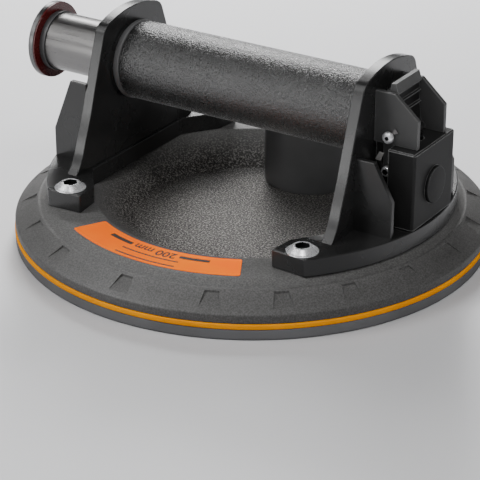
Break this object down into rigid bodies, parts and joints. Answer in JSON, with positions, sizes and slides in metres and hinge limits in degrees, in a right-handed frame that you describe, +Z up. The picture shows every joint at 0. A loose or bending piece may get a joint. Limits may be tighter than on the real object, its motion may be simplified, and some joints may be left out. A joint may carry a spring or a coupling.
{
  "type": "vacuum suction lifter",
  "caption": "Round vacuum suction pad with a grab handle that holds a hand pump, a thumb release valve at one end and a small vacuum gauge.",
  "frame": {"origin": "centre of the round pad on the surface it stands on", "axes": "+X along the handle towards the valve block, +Z up away from the pad, +Y towards the gauge"},
  "size_m": [0.2045, 0.2, 0.0892],
  "materials": {
    "pad_rubber": "matte grey rubber",
    "ring_rubber": "satin orange rubber",
    "disc_coat": "coarse grey powder coat",
    "label": "printed orange film",
    "casting_black": "satin black paint",
    "block_black": "satin black paint",
    "guard_black": "satin black paint",
    "screw_chrome": "polished",
    "screw_steel": "plain steel",
    "tab_steel": "dull plated",
    "grip_rubber": "fine leather grain",
    "collar_metal": "satin",
    "barrel_metal": "honed",
    "bush_metal": "turned",
    "seal_rubber": "black seal rubber",
    "plunger_steel": "satin brushed",
    "knob_steel": "bright turned",
    "washer_red": "dark red",
    "spring_steel": "drawn wire",
    "pump_plastic": "acetal",
    "lever_grey": "satin grey paint",
    "stem_metal": "turned",
    "button_black": "satin black",
    "gauge_black": "smooth black",
    "dial_white": "white printed face",
    "needle_red": "red",
    "lens": "clear"
  },
  "bodies": {
    "lifter": {"base_plate": "disc_coat", "block_gasket": "seal_rubber", "block_screws": "screw_steel", "button_spring": "spring_steel", "chamber_plug": "bush_metal", "check_ball": "screw_steel", "end_plug": "barrel_metal", "foot_screws": "screw_chrome", "gauge_bezel": "gauge_black", "gauge_case": "gauge_black", "gauge_dial": "dial_white", "gauge_fitting": "bush_metal", "gauge_lens": "lens", "gauge_movement": "bush_metal", "grip_collar": "collar_metal", "grip_sleeve": "grip_rubber", "guide_bush": "bush_metal", "info_label": "label", "left_bracket": "casting_black", "lever_guard": "guard_black", "lever_pin": "screw_chrome", "orange_ring": "ring_rubber", "plug_seal": "seal_rubber", "port_filter": "bush_metal", "port_seals": "seal_rubber", "pump_barrel": "barrel_metal", "pump_spring": "spring_steel", "right_bracket": "casting_black", "rubber_pad": "pad_rubber", "side_screws": "screw_chrome", "stem_spring": "spring_steel", "tab_washers": "tab_steel", "valve_block": "block_black", "wiper_seal": "seal_rubber"},
    "plunger": {"plunger_tube": "plunger_steel", "plunger_knob": "knob_steel", "knob_washer": "washer_red", "knob_bumper": "seal_rubber", "spring_seat": "pump_plastic", "piston": "pump_plastic", "piston_seal": "seal_rubber"},
    "lever": {"release_lever": "lever_grey"},
    "stem": {"valve_stem": "stem_metal", "stem_seal": "seal_rubber"},
    "button": {"push_button": "button_black"},
    "needle": {"gauge_needle": "needle_red"}
  },
  "joints": [
    {"name": "plunger_slide", "type": "slide", "parent": "lifter", "child": "plunger", "axis": [1, 0, 0], "range_m": [0, 0.032], "stiffness_N_per_m": 400, "springref_m": -0.01, "deforming": ["pump_spring"]},
    {"name": "lever_hinge", "type": "hinge", "parent": "lifter", "child": "lever", "pos_m": [0.0709, 0, 0.0628], "axis": [0, 1, 0], "range_deg": [0, 23], "stiffness_Nm_per_rad": 0.15, "springref_deg": -11.46},
    {"name": "stem_slide", "type": "slide", "parent": "lifter", "child": "stem", "axis": [0, 0, -1], "range_m": [0, 0.0023], "deforming": ["stem_spring"]},
    {"name": "button_slide", "type": "slide", "parent": "lifter", "child": "button", "axis": [-1, 0, 0], "range_m": [0, 0.0015], "stiffness_N_per_m": 800, "springref_m": -0.002, "deforming": ["button_spring"]},
    {"name": "needle_turn", "type": "hinge", "parent": "lifter", "child": "needle", "pos_m": [0, 0.0485, 0.037], "axis": [0, 0, -1], "range_deg": [0, 270], "stiffness_Nm_per_rad": 0.00005}
  ],
  "couplings": [
    {"joint": "stem_slide", "follows": "lever_hinge", "m_per_rad": 0.0056}
  ]
}
